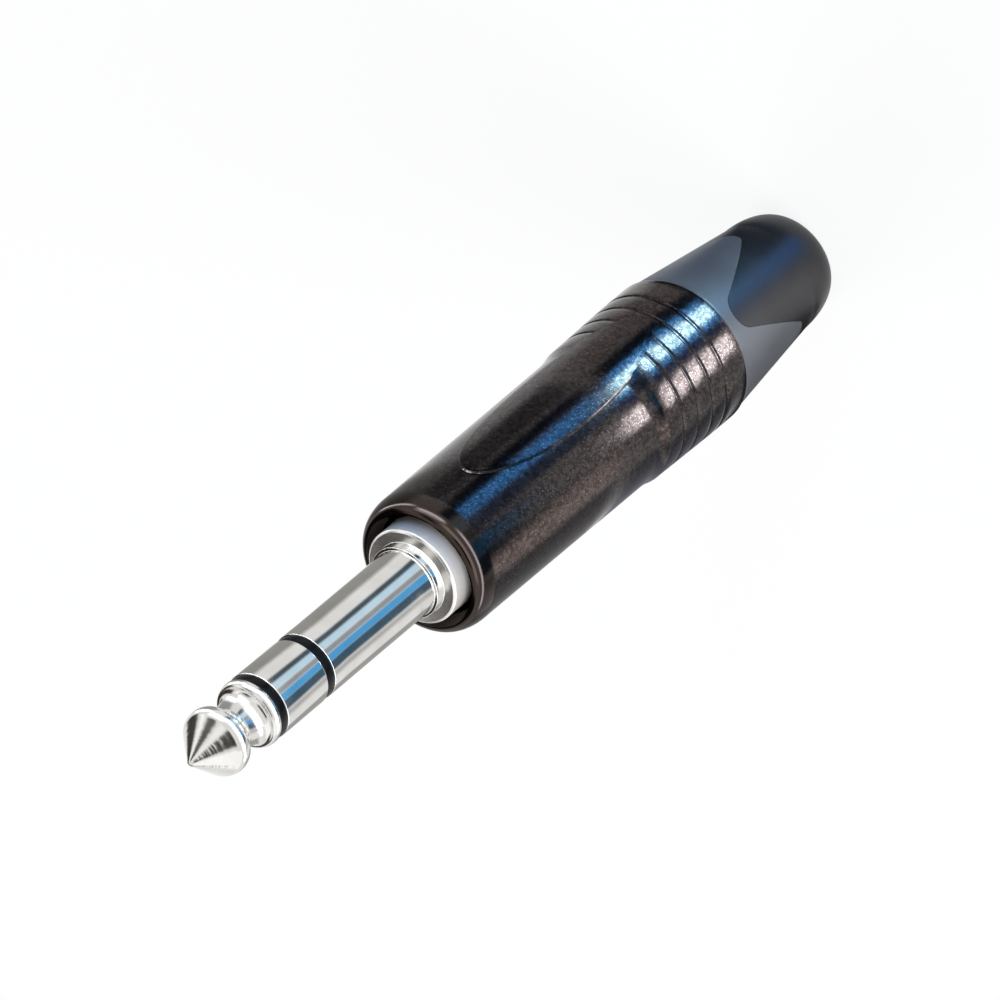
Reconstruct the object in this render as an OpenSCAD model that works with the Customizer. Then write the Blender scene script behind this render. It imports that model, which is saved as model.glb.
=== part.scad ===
// Quarter-inch three-pole jack plug for a cable. It stands on the end of its boot, nose up, with the
// plug's axis on +Z and the plaque of the shell facing -Y. Millimetres. The pieces are drawn in a
// frame whose z runs backwards from the nose, and behind_nose() puts them in place.

/* [Finger] */
// Length of the finger from its nose to its step
finger_len = 30.5; // [29:0.1:32]
// Diameter of the finger
finger_d = 6.35; // [6.25:0.01:6.45]
// Length of the tip contact in front of the first black band
tip_len = 8.6; // [8.2:0.1:9.2]
// Length of the ring contact
ring_len = 5.65; // [5:0.05:6.5]
// Width of each black band
band_w = 1; // [0.7:0.05:1.4]
// How far the black bands lie below the metal
band_sink = 0.06; // [0.02:0.01:0.15]
// Chamfer at the ends of the ring and of the sleeve
land_edge = 0.08; // [0.03:0.01:0.2]

/* [Tip contact] */
// Radius of the rounded nose
nose_r = 0.45; // [0.2:0.05:0.6]
// Angle between the nose cone and the axis
nose_angle = 42; // [38:1:43]
// Diameter of the sharp edge at the end of the nose cone
nose_edge_d = 5.7; // [5.5:0.05:6]
// Length of the rounded crest behind the nose cone
crest_len = 1.75; // [1.5:0.05:1.9]
// Radius across the rounded crest
crest_round = 0.7; // [0.5:0.05:0.9]
// Diameter of the waist that the socket's spring drops into
waist_d = 4.4; // [3.8:0.05:4.6]
// Length of the shoulder that rises from the waist
shoulder_len = 0.75; // [0.6:0.05:1]
// Length of the plain land between the shoulder and the first black band
nose_land = 0.06; // [0.02:0.01:0.3]
// Diameter of the tip contact's rod
tip_rod_d = 1.6; // [1.4:0.05:1.8]

/* [Finger tubes] */
// Wall of the insulating tube round the tip contact's rod
tip_tube_wall = 0.39; // [0.3:0.01:0.42]
// Wall of the ring contact's tube
ring_tube_wall = 0.35; // [0.3:0.01:0.4]
// Wall of the insulating tube round the ring contact's tube
ring_insulation_wall = 0.39; // [0.3:0.01:0.42]

/* [Collar] */
// How far the step at the finger's root stands out of the finger
step_rise = 0.275; // [0.15:0.025:0.5]
// Length of the step
step_len = 1; // [0.6:0.05:1.4]
// Ledge of the shell's front wall that the insert's flange rests on, with the collar's gap
collar_ledge = 0.69; // [0.5:0.01:0.8]
// How far the collar stands out of the shell's mouth
collar_proud = 1.1; // [0.6:0.05:1.6]
// Chamfer of the collar's front edge
collar_edge = 0.2; // [0.1:0.05:0.3]
// Thickness of the flange that holds the insert in the shell
flange_len = 1.2; // [0.8:0.1:1.6]
// Wall of the carrier between its spigot bore and its trough's inside
spigot_wall = 0.78; // [0.6:0.02:0.9]
// Length of the spigot
spigot_len = 3.2; // [2.6:0.1:3.6]

/* [Shell] */
// Length of the shell
shell_len = 38.8; // [37:0.1:41]
// Diameter of the shell behind its rounded front
shell_d = 13.22; // [13:0.02:13.5]
// How much the shell has grown in diameter where the ringed barrel starts
shell_growth = 0.26; // [0:0.02:0.3]
// Length of the rounded front
front_round_len = 2.2; // [1.6:0.1:2.8]
// How far the rounded front draws in
front_round_depth = 1; // [0.6:0.05:1.05]
// Width of the mouth's countersink round the collar
mouth_ring = 0.94; // [0.6:0.02:1]
// Depth of the mouth's countersink
mouth_depth = 0.9; // [0.6:0.05:1.2]
// Thickness of the shell's front wall
front_wall = 2.5; // [2:0.1:3]
// Wall of the shell
shell_wall = 1.36; // [1.2:0.02:1.5]

/* [Ringed barrel] */
// Length of the ringed barrel
barrel_len = 11.4; // [11:0.1:12.2]
// How much thicker in diameter the barrel is than the front of the shell
barrel_growth = 1.18; // [1:0.02:1.3]
// How much the barrel tapers in diameter towards its front
barrel_taper = 0.36; // [0.2:0.02:0.5]
// Length of the flare from the shell to the barrel
flare_len = 1.7; // [1:0.1:2.2]
// How far the flare has risen halfway along it
flare_bend = 0.06; // [0.02:0.02:0.12]
// Number of grooves round the barrel
groove_count = 4; // [2:1:4]
// Distance from one groove to the next
groove_pitch = 2.1; // [1.9:0.05:2.2]
// Distance from the last groove to the shell's end
groove_back = 3.05; // [2.8:0.05:3.2]
// Width of each groove
groove_w = 0.32; // [0.2:0.02:0.5]
// Depth of each groove
groove_depth = 0.2; // [0.1:0.02:0.3]
// Rounding of the barrel's rear edge
barrel_edge = 0.3; // [0.2:0.05:0.45]

/* [Plaque] */
// Length of the raised oval plaque
plaque_len = 26.4; // [24:0.1:27]
// Width of the plaque
plaque_w = 7.06; // [6:0.02:7.6]
// Distance from the plaque's middle to the shell's end
plaque_back = 18.9; // [18:0.1:20]
// How far the plaque stands out of the shell at its front
plaque_rise = 0.3; // [0.2:0.02:0.4]
// How far the plaque stands out of the barrel at its rear
plaque_rear_rise = 0.05; // [0.03:0.01:0.08]

/* [Thread] */
// Pitch of the boot's thread
thread_pitch = 1.5; // [1:0.25:1.5]
// Number of turns that hold the boot in the shell
thread_turns = 3; // [2:1:3]
// Wall of the barrel round the neck's plain pilot
barrel_wall = 1.2; // [1:0.05:1.3]
// Step in the shell from the pilot's bore down to the thread
thread_step = 0.15; // [0.1:0.05:0.3]
// Depth of the thread between the neck's and the shell's roots
thread_depth = 0.5; // [0.4:0.05:0.6]
// Wall of the neck under its thread
neck_wall = 0.4; // [0.3:0.05:0.5]
// Chamfer on the neck's and the shell's edges
neck_edge = 0.25; // [0.15:0.05:0.3]
// Length of the pilot
pilot_len = 4.3; // [4:0.1:4.6]

/* [Boot] */
// Length of the boot behind the shell
boot_len = 17.2; // [16.6:0.1:18.5]
// How far the boot lies inside the barrel's outline where they meet
boot_inset = 0.15; // [0.05:0.05:0.3]
// How much the boot tapers in diameter up to its rounded end
boot_taper = 3.1; // [2.6:0.1:3.4]
// Chamfer of the boot's front edge
boot_edge = 0.12; // [0.06:0.02:0.2]
// Length of the rounded end
end_round_len = 4.3; // [3.6:0.1:4.8]
// How far the rounded end draws in before the flat foot
end_round_depth = 1.7; // [1.4:0.05:1.8]
// Width of the rim from the foot's edge to the cable hole
foot_rim = 0.4; // [0.3:0.05:0.6]
// Chamfer of the cable hole
cable_hole_edge = 0.15; // [0.05:0.05:0.15]
// Thickness of the hard web behind the chuck
web_t = 1; // [0.8:0.1:1.3]
// Gap from the cable hole out to the hole in the hard web
web_gap = 0.4; // [0.3:0.05:0.45]
// Thickness of the boot's hard petals
petal_wall = 1.3; // [1.1:0.05:1.4]
// How much deeper the valleys' floor lies in the hard web than the petals are thick
floor_step = 0.1; // [0.05:0.05:0.2]
// Distance from the shell to the bottom of the valleys between the petals
valley_at = 1.4; // [1.2:0.05:1.6]
// Length of the petals
petal_len = 9.2; // [8.8:0.1:9.6]
// Radius at the bottom of each valley
valley_r = 1.8; // [1.6:0.05:2]
// Radius of the petals' tips
petal_tip_r = 0.65; // [0.4:0.05:0.9]
// Turn of the first valley from the plaque
valley_turn = -42; // [-180:1:180]

/* [Insert] */
// Length of the carrier's solid part
carrier_len = 4.7; // [4.3:0.1:5.2]
// Length of the carrier's trough
trough_len = 11; // [10:0.1:11.4]
// Wall of the carrier's trough
trough_wall = 1; // [0.8:0.05:1.1]
// Thickness of the terminals
terminal_t = 0.4; // [0.3:0.05:0.5]
// Width of the terminals' solder tags
tag_w = 2; // [1.6:0.1:2.2]
// Length of the solder tags behind the carrier
tag_len = 7.6; // [6:0.1:8]
// Width of the terminals' rings round the tube or rod that they sit on
terminal_rim = 0.9; // [0.7:0.05:1]
// How far the inner tags lie inside the sleeve's tag
tag_step = 0.6; // [0.5:0.05:0.7]
// Distance from the hole to the end of each solder tag
tag_hole_back = 1.5; // [1.2:0.1:2]
// Diameter of the hole in each solder tag
tag_hole_d = 1.1; // [0.8:0.1:1.2]
// Thickness of the insulating washer
washer_t = 0.6; // [0.4:0.05:0.7]
// How far a riveted tube or rod stands out behind its terminal
rivet_len = 0.5; // [0.4:0.05:0.6]

/* [Chuck] */
// Distance from the carrier's trough to the chuck's ring
chuck_gap = 0.5; // [0.3:0.05:0.7]
// Length of the chuck's ring
chuck_ring_len = 4; // [3.6:0.1:4.2]
// Length of the chuck's cover over the solder tags
chuck_cover_len = 10.6; // [9.5:0.1:10.8]
// Wall of the chuck's cover and ring
chuck_wall = 1; // [0.9:0.05:1.05]
// Length of the slope from the chuck's ring to its fingers
chuck_slope_len = 0.8; // [0.5:0.1:1]
// Wall of the chuck's fingers
chuck_finger_wall = 1.15; // [1:0.05:1.25]
// How far the cone at the chuck's rear end draws in
chuck_cone_depth = 0.8; // [0.6:0.05:0.85]
// Length of the cone at the chuck's rear end
chuck_cone_len = 3.4; // [3:0.1:3.6]
// How far the chuck reaches into the boot behind the shell
chuck_reach = 2; // [1.6:0.1:2.2]
// How far the teeth stand out of the fingers' bore
tooth_rise = 0.55; // [0.4:0.05:0.6]
// Number of teeth along each finger
teeth = 7; // [5:1:8]
// Distance from one tooth to the next
tooth_pitch = 0.9; // [0.8:0.05:0.95]
// Number of slots between the fingers
slots = 4; // [3:1:5]
// Width of the slots
slot_w = 0.8; // [0.6:0.05:1]

/* [Clearances] */
// Gap round tubes, rods and spigots that are pushed together
push_gap = 0.03; // [0.02:0.01:0.04]
// Gap round what is set into the shell, and round the chuck
slide_gap = 0.07; // [0.05:0.01:0.09]
// Gap round the boot's pilot in the shell
turn_gap = 0.05; // [0.04:0.01:0.07]
// Gap between the collar and the shell's front wall
collar_gap = 0.09; // [0.06:0.01:0.1]
// Gap between the chuck's fingers and the boot's neck
finger_gap = 0.2; // [0.15:0.01:0.25]
// Gap between the chuck's cone and the boot's cone
cone_gap = 0.15; // [0.1:0.01:0.2]
// Gap beside the chuck's cover and round a tag in its slot
side_gap = 0.1; // [0.08:0.01:0.15]

/* [Hidden] */
$fn = 96;
// Past a face that a cut goes through
over = 1;
// From the point that two arcs share to the next point on the second arc
arc_step = 15;

// Stations along the axis, measured backwards from the nose
band_at = tip_len;
ring_at = band_at + band_w;
rear_band_at = ring_at + ring_len;
sleeve_at = rear_band_at + band_w;
step_at = finger_len;
collar_at = step_at + step_len;
shell_at = collar_at + collar_proud;
shoulder_at = shell_at + front_wall;
flange_end = shoulder_at + flange_len;
carrier_at = flange_end + terminal_t;
carrier_end = carrier_at + carrier_len;
trough_end = carrier_end + trough_len;
ring_tube_end = carrier_end + terminal_t + rivet_len;
washer_end = ring_tube_end + washer_t;
tip_rod_end = washer_end + terminal_t + rivet_len;
chuck_at = trough_end + chuck_gap;
shell_end = shell_at + shell_len;
barrel_at = shell_end - barrel_len;
boot_end = shell_end + boot_len;
overall = boot_end;

// Radii of the shell from outside in, and of what fills it
shell_r = shell_d / 2;
shell_bore = shell_r - shell_wall;
barrel_rear_r = shell_r + barrel_growth / 2;
barrel_front_r = barrel_rear_r - barrel_taper / 2;
pilot_bore = barrel_rear_r - barrel_wall;
pilot_r = pilot_bore - turn_gap;
thread_bore = pilot_bore - thread_step;
thread_root = thread_bore - thread_depth;
neck_bore = thread_root - neck_wall;
insert_r = shell_bore - slide_gap;
trough_in = insert_r - trough_wall;
spigot_r = trough_in - spigot_wall;
collar_r = shell_bore - collar_ledge;
collar_bore = collar_r + collar_gap;
mouth_r = collar_r + mouth_ring;
chuck_finger_r = neck_bore - finger_gap;
chuck_bore = chuck_finger_r - chuck_finger_wall;
chuck_end_r = chuck_finger_r - chuck_cone_depth;
teeth_r = chuck_bore - tooth_rise;

// Radii of the boot
boot_front_r = barrel_rear_r - boot_inset;
boot_rear_r = boot_front_r - boot_taper / 2;
foot_r = boot_rear_r - end_round_depth;
cable_r = foot_r - foot_rim;
web_bore = cable_r + web_gap;

// Radii of what is nested in the finger
finger_r = finger_d / 2;
band_r = finger_r - band_sink;
tip_rod_r = tip_rod_d / 2;
tip_tube_in = tip_rod_r + push_gap;
tip_tube_out = tip_tube_in + tip_tube_wall;
ring_tube_in = tip_tube_out + push_gap;
ring_tube_out = ring_tube_in + ring_tube_wall;
insulation_in = ring_tube_out + push_gap;
insulation_out = insulation_in + ring_insulation_wall;
sleeve_bore = insulation_out + push_gap;
step_r = finger_r + step_rise;

// Places of the thread, the neck and the chuck
thread_len = thread_pitch * thread_turns;
pilot_at = shell_end - pilot_len;
thread_at = pilot_at - thread_len;
chuck_cone_end = shell_end + chuck_reach;
chuck_cone_at = chuck_cone_end - chuck_cone_len;
web_end = chuck_cone_end + web_t;
// Turn of the two inner tags from the sleeve's tag
tag_turn = 110;

// Boot's outline
petals = 3;
valley_z = shell_end + valley_at;
petal_end = valley_z + petal_len;
taper_end = boot_end - end_round_len;
floor_depth = petal_wall + floor_step;

// Raised oval plaque
plaque_z = shell_end - plaque_back;
plaque_r = shell_r + plaque_rise;
plaque_points = 48;
// Thickness of the two ovals that the plaque is spanned between
leaf = 0.01;

// Points on an oval arc round centre c
function oval(c, rx, ry, from, to, n = 10) =
    [for (i = [0:n]) let (a = from + (to - from) * i / n) [c.x + rx * cos(a), c.y + ry * sin(a)]];

// Value at z on the straight line from (z0, v0) to (z1, v1)
function along(z, z0, v0, z1, v1) = v0 + (v1 - v0) * (z - z0) / (z1 - z0);

// Radius of the barrel before it is grooved, and of the boot's cone
function barrel_r(z) = along(z, barrel_at, barrel_front_r, shell_end - groove_back, barrel_rear_r);
function boot_r(z) = along(z, shell_end, boot_front_r, taper_end, boot_rear_r);

plaque_rear_r = barrel_r(plaque_z + plaque_len / 2) + plaque_rear_rise;

module behind_nose() {
    translate([0, 0, overall]) mirror([0, 0, 1]) children();
}

// Ring or tube between two radii and two stations
module tube(r_in, r_out, from, to) {
    translate([0, 0, from]) difference() {
        cylinder(r = r_out, h = to - from);
        translate([0, 0, -over]) cylinder(r = r_in, h = to - from + 2 * over);
    }
}

// Contact band of the finger with chamfered ends
module land(r_in, r_out, from, to) {
    rotate_extrude() polygon([
        [r_in, from], [r_out - land_edge, from], [r_out, from + land_edge],
        [r_out, to - land_edge], [r_out - land_edge, to], [r_in, to]
    ]);
}

module tip_contact() {
    edge_r = nose_edge_d / 2;
    crest_r = finger_r - band_sink / 3;
    waist_r = waist_d / 2;
    cone_end = nose_r * (1 - sin(nose_angle)) + (edge_r - nose_r * cos(nose_angle)) / tan(nose_angle);
    swing = acos((edge_r - crest_r + crest_round) / crest_round);
    crest_half = crest_len / 2;
    crest_z = cone_end + crest_half;
    waist_at = cone_end + crest_len;
    rise_z = band_at - nose_land - shoulder_len;
    waist_half = (rise_z - waist_at) / 2;
    color("silver") behind_nose() rotate_extrude() polygon(concat(
        oval([0, nose_r], nose_r, nose_r, -90, -nose_angle, 5),
        oval([crest_r - crest_round, crest_z], crest_round, crest_half / sin(swing), -swing, swing),
        oval([edge_r, waist_at + waist_half], edge_r - waist_r, waist_half, -90 - arc_step, -270 + arc_step),
        oval([edge_r, rise_z + shoulder_len], finger_r - edge_r, shoulder_len, -90 + arc_step, 0, 5),
        [[finger_r, band_at], [tip_rod_r, band_at], [tip_rod_r, tip_rod_end], [0, tip_rod_end]]
    ));
}

module tip_insulator() {
    color([0.05, 0.05, 0.05]) behind_nose() {
        tube(tip_tube_in, band_r, band_at, ring_at);
        tube(tip_tube_in, tip_tube_out, band_at, ring_tube_end);
    }
}

module ring_contact() {
    color("silver") behind_nose() {
        land(ring_tube_in, finger_r, ring_at, rear_band_at);
        tube(ring_tube_in, ring_tube_out, ring_at + land_edge, ring_tube_end);
    }
}

module ring_insulator() {
    color([0.05, 0.05, 0.05]) behind_nose() {
        tube(insulation_in, band_r, rear_band_at, sleeve_at);
        tube(insulation_in, insulation_out, rear_band_at, carrier_end);
    }
}

module sleeve_contact() {
    color("silver") behind_nose() rotate_extrude() polygon([
        [sleeve_bore, sleeve_at], [finger_r - land_edge, sleeve_at], [finger_r, sleeve_at + land_edge],
        [finger_r, step_at], [step_r, step_at], [step_r, collar_at],
        [collar_r - collar_edge, collar_at], [collar_r, collar_at + collar_edge],
        [collar_r, shoulder_at], [insert_r, shoulder_at], [insert_r, flange_end],
        [spigot_r, flange_end], [spigot_r, flange_end + spigot_len],
        [sleeve_bore, flange_end + spigot_len]
    ]);
}

// Flat tag that leaves its washer along -Y and runs backwards
module tag(washer_in, washer_out, at, outside, end) {
    difference() {
        union() {
            tube(washer_in, washer_out, at, at + terminal_t);
            translate([-tag_w / 2, -outside, at]) cube([tag_w, outside - washer_in - terminal_t, terminal_t]);
            translate([-tag_w / 2, -outside, at]) cube([tag_w, terminal_t, end - at]);
        }
        translate([0, -outside - over, end - tag_hole_back])
            rotate([-90, 0, 0]) cylinder(d = tag_hole_d, h = terminal_t + 2 * over);
        translate([0, 0, at - over]) cylinder(r = washer_in, h = terminal_t + 2 * over);
    }
}

// Distance from the axis to the outer face of the sleeve's tag, which lies against the trough
sleeve_tag_y = sqrt(pow(trough_in - side_gap, 2) - pow(tag_w / 2, 2));
// The same for the two inner tags
inner_tag_y = sleeve_tag_y - tag_step;

module sleeve_terminal() {
    color("silver") behind_nose()
        tag(spigot_r + push_gap, trough_in + side_gap, flange_end, sleeve_tag_y, carrier_end + tag_len);
}

module ring_terminal() {
    color("silver") behind_nose() rotate([0, 0, tag_turn])
        tag(insulation_in, insulation_in + terminal_rim, carrier_end, inner_tag_y, carrier_end + tag_len);
}

module terminal_washer() {
    color([0.8, 0.75, 0.6]) behind_nose()
        tube(tip_tube_in, insulation_in + terminal_rim - side_gap, ring_tube_end, washer_end);
}

module tip_terminal() {
    color("silver") behind_nose() rotate([0, 0, -tag_turn])
        tag(tip_tube_in, tip_tube_in + terminal_rim, washer_end, inner_tag_y, carrier_end + tag_len);
}

module terminal_carrier() {
    slot_out = sleeve_tag_y + side_gap;
    slot_in = sleeve_tag_y - terminal_t - side_gap;
    color([0.12, 0.12, 0.12]) behind_nose() difference() {
        union() {
            tube(sleeve_bore, insert_r, carrier_at, carrier_end);
            tube(trough_in, insert_r, carrier_at, trough_end);
        }
        translate([0, 0, carrier_at - over])
            cylinder(r = spigot_r + push_gap, h = flange_end + spigot_len + push_gap - carrier_at + over);
        translate([-insert_r - over, -side_gap / 2, carrier_end])
            cube([2 * (insert_r + over), insert_r + over, trough_len + over]);
        translate([-tag_w / 2 - side_gap, -slot_out, carrier_at - over])
            cube([tag_w + 2 * side_gap, slot_out - slot_in, carrier_len + 2 * over]);
    }
}

module plaque_oval(a, b) {
    polygon(oval([0, 0], b, a, 0, 360 - 360 / plaque_points, plaque_points - 1));
}

// Raised oval with a bevelled rim. The ovals of the hull lie below and above the rim.
module plaque() {
    half_w = plaque_w / 2;
    half_len = plaque_len / 2;
    rim_y = sqrt(pow(plaque_r, 2) - pow(half_w, 2));
    top_y = plaque_rear_r + plaque_rise;
    low_y = rim_y - over;
    intersection() {
        rotate_extrude() polygon([
            [0, plaque_z - half_len - over], [plaque_r, plaque_z - half_len],
            [plaque_rear_r, plaque_z + half_len], [0, plaque_z + half_len + over]
        ]);
        translate([0, 0, plaque_z]) rotate([90, 0, 0]) hull() {
            translate([0, 0, low_y]) linear_extrude(leaf)
                plaque_oval(half_len + plaque_r - low_y, half_w + rim_y - low_y);
            translate([0, 0, top_y]) linear_extrude(leaf)
                plaque_oval(half_len + plaque_r - top_y, half_w + rim_y - top_y);
        }
    }
}

module shell() {
    flank_r = shell_r + shell_growth / 2;
    side = groove_w / 2;
    flat = groove_w / 5;
    rear_r = barrel_rear_r - barrel_edge;
    mouth_slope = (mouth_r - collar_bore) / mouth_depth;
    color([0.17, 0.16, 0.16]) behind_nose() difference() {
        union() {
            rotate_extrude() polygon(concat(
                [[0, shell_at], [mouth_r, shell_at]],
                oval([shell_r - front_round_depth, shell_at + front_round_len],
                    front_round_depth, front_round_len, -90, 0, 9),
                [[flank_r, barrel_at - flare_len], [flank_r + flare_bend, barrel_at - flare_len / 2],
                    [barrel_front_r, barrel_at]],
                [for (k = [groove_count - 1:-1:0])
                    let (z = shell_end - groove_back - k * groove_pitch, r = barrel_r(z))
                    each [[r, z - side], [r - groove_depth, z - flat], [r - groove_depth, z + flat],
                        [r, z + side]]],
                [[barrel_rear_r, shell_end - groove_back + 2 * side]],
                oval([rear_r, shell_end - barrel_edge], barrel_edge, barrel_edge, 0, 90, 4),
                [[0, shell_end]]
            ));
            plaque();
        }
        rotate_extrude() polygon([
            [0, shell_at - over], [mouth_r + over * mouth_slope, shell_at - over],
            [collar_bore, shell_at + mouth_depth], [collar_bore, shoulder_at],
            [shell_bore, shoulder_at], [shell_bore, thread_at - thread_pitch / 2],
            [thread_bore, thread_at - thread_pitch / 2], [thread_bore, pilot_at],
            [pilot_bore, pilot_at], [pilot_bore, shell_end - neck_edge],
            [pilot_bore + neck_edge, shell_end], [pilot_bore + neck_edge, shell_end + over],
            [0, shell_end + over]
        ]);
    }
}

module cable_chuck() {
    teeth_at = chuck_cone_end - (teeth + 0.5) * tooth_pitch;
    ring_in = insert_r - chuck_wall;
    ring_end = chuck_at + chuck_ring_len;
    slot_at = ring_end + chuck_slope_len + slot_w;
    color([0.85, 0.85, 0.82]) behind_nose() difference() {
        union() {
            rotate_extrude() polygon(concat(
                [[ring_in, chuck_at], [insert_r, chuck_at], [insert_r, ring_end],
                    [chuck_finger_r, ring_end + chuck_slope_len], [chuck_finger_r, chuck_cone_at],
                    [chuck_end_r, chuck_cone_end], [teeth_r + tooth_pitch / 2, chuck_cone_end]],
                [for (k = [0:teeth - 1])
                    let (z = chuck_cone_end - (k + 0.5) * tooth_pitch)
                    each [[teeth_r, z], [teeth_r + tooth_pitch / 2, z - tooth_pitch * 0.4]]],
                [[chuck_bore, teeth_at], [chuck_bore, ring_end], [ring_in, ring_end - tooth_rise]]
            ));
            intersection() {
                tube(ring_in, insert_r, chuck_at - chuck_gap - chuck_cover_len, chuck_at + over);
                translate([-insert_r - over, side_gap, 0])
                    cube([2 * (insert_r + over), insert_r + over, chuck_at + over]);
            }
        }
        for (k = [0:slots - 1]) rotate([0, 0, 360 / slots * (k + 0.5)]) {
            translate([0, -slot_w / 2, slot_at]) cube([insert_r, slot_w, chuck_cone_end - slot_at + over]);
            translate([0, 0, slot_at]) rotate([0, 90, 0]) cylinder(r = slot_w * 0.75, h = insert_r);
        }
    }
}

// One valley between two petals, seen from outside, with its bottom at y = 0
module valley_outline() {
    half_pitch = boot_r(petal_end) * sin(180 / petals);
    tip_y = petal_len - petal_tip_r;
    reach = tip_y - valley_r;
    // The valley's sides touch both arcs
    side_angle = atan(half_pitch / reach) - asin((valley_r + petal_tip_r) / norm([half_pitch, reach]));
    polygon(concat(
        oval([0, valley_r], valley_r, valley_r, -side_angle, -180 + side_angle, 12),
        oval([-half_pitch, tip_y], petal_tip_r, petal_tip_r, side_angle, 180, 8),
        [[-half_pitch - petal_tip_r, petal_len + over], [half_pitch + petal_tip_r, petal_len + over]],
        oval([half_pitch, tip_y], petal_tip_r, petal_tip_r, 0, 180 - side_angle, 8)
    ));
}

// The cuts that make the valleys. Each starts this far from the axis, between its own two petals.
module valley_cuts() {
    start = boot_r(petal_end) * cos(180 / petals + 10);
    for (k = [0:petals - 1]) rotate([0, 0, valley_turn + 360 / petals * k])
        translate([0, -start, valley_z]) rotate([90, 0, 0])
            linear_extrude(boot_front_r) valley_outline();
}

module boot_core() {
    // The gap is measured square to the cone, and its shift square to the axis
    cone_tilt = atan((finger_gap + chuck_cone_depth) / chuck_cone_len);
    cone_end_r = chuck_end_r + cone_gap / cos(cone_tilt);
    color([0.44, 0.45, 0.47]) behind_nose() difference() {
        rotate_extrude() polygon([
            [neck_bore, thread_at], [thread_root - neck_edge, thread_at],
            [thread_root, thread_at + neck_edge], [thread_root, pilot_at + neck_edge],
            [pilot_r - neck_edge, pilot_at + neck_edge], [pilot_r, pilot_at + 2 * neck_edge],
            [pilot_r, shell_end], [boot_front_r - boot_edge, shell_end],
            [boot_r(shell_end + boot_edge), shell_end + boot_edge],
            [boot_r(petal_end), petal_end], [boot_r(petal_end) - petal_wall, petal_end],
            [boot_r(web_end) - petal_wall, web_end], [web_bore, web_end],
            [web_bore, chuck_cone_end + side_gap], [cone_end_r, chuck_cone_end + side_gap],
            [cone_end_r, chuck_cone_end], [neck_bore, chuck_cone_at]
        ]);
        intersection() {
            valley_cuts();
            rotate_extrude() polygon([
                [boot_front_r - floor_depth, shell_end], [boot_front_r + over, shell_end],
                [boot_front_r + over, boot_end], [boot_r(boot_end) - floor_depth, boot_end]
            ]);
        }
    }
}

module boot_cover() {
    color([0.11, 0.11, 0.12]) behind_nose() difference() {
        rotate_extrude() polygon(concat(
            [[cable_r, web_end], [boot_r(web_end) - floor_depth, web_end],
                [boot_r(valley_z) - floor_depth, valley_z], [boot_r(valley_z), valley_z]],
            oval([foot_r, taper_end], end_round_depth, end_round_len, 0, 90, 12),
            [[cable_r + cable_hole_edge, boot_end], [cable_r, boot_end - cable_hole_edge]]
        ));
        difference() {
            rotate_extrude() polygon([
                [cable_r, shell_end], [boot_front_r + over, shell_end],
                [boot_front_r + over, petal_end], [boot_r(petal_end) - petal_wall, petal_end],
                [boot_r(web_end) - petal_wall, web_end], [cable_r, web_end]
            ]);
            valley_cuts();
        }
    }
}

tip_contact();
tip_insulator();
ring_contact();
ring_insulator();
sleeve_contact();
terminal_carrier();
sleeve_terminal();
ring_terminal();
terminal_washer();
tip_terminal();
shell();
cable_chuck();
boot_core();
boot_cover();
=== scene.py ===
import math

import bpy
from mathutils import Matrix, Vector


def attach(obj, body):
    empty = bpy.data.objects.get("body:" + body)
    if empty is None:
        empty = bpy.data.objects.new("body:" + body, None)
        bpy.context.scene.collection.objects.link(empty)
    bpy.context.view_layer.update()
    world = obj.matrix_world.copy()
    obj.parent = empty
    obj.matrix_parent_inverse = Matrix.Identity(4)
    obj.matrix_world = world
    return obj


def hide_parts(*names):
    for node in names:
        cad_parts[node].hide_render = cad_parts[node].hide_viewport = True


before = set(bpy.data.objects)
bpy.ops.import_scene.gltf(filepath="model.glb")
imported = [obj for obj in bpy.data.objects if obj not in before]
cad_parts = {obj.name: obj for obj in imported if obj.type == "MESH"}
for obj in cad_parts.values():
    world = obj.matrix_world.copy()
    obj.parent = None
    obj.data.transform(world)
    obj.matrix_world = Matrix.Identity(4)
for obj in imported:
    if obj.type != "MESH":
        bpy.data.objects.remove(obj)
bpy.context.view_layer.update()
bpy.context.scene.view_settings.view_transform = "Standard"

# Everything below is in millimetres, with z measured backwards from the nose as in the part's
# source, and is turned into metres with +Z up when a mesh is made.
MM = 0.001
HEIGHT = 88.6

# Finger
FINGER_R = 3.175
TIP_LEN = 8.6
RING_LEN = 5.65
BAND_W = 1.0
BAND_SINK = 0.06
LAND_EDGE = 0.08
NOSE_R = 0.45
NOSE_ANGLE = 42
NOSE_EDGE_R = 2.85
CREST_LEN = 1.75
CREST_ROUND = 0.7
WAIST_R = 2.2
SHOULDER_LEN = 0.75
NOSE_LAND = 0.06
TIP_ROD_R = 0.8
TIP_TUBE = (0.83, 1.22)
RING_TUBE = (1.25, 1.6)
INSULATION = (1.63, 2.02)
SLEEVE_BORE = 2.05

# Collar, flange and spigot of the sleeve contact
STEP_AT = 30.5
STEP_R = 3.45
COLLAR_AT = 31.5
COLLAR_R = 4.56
COLLAR_EDGE = 0.2
SHELL_AT = 32.6
SHOULDER_AT = 35.1
FLANGE_END = 36.3
INSERT_R = 5.18
SPIGOT_R = 3.4
SPIGOT_LEN = 3.2
CARRIER_END = 41.4
RING_TUBE_END = 42.3
TIP_ROD_END = 43.8

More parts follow.
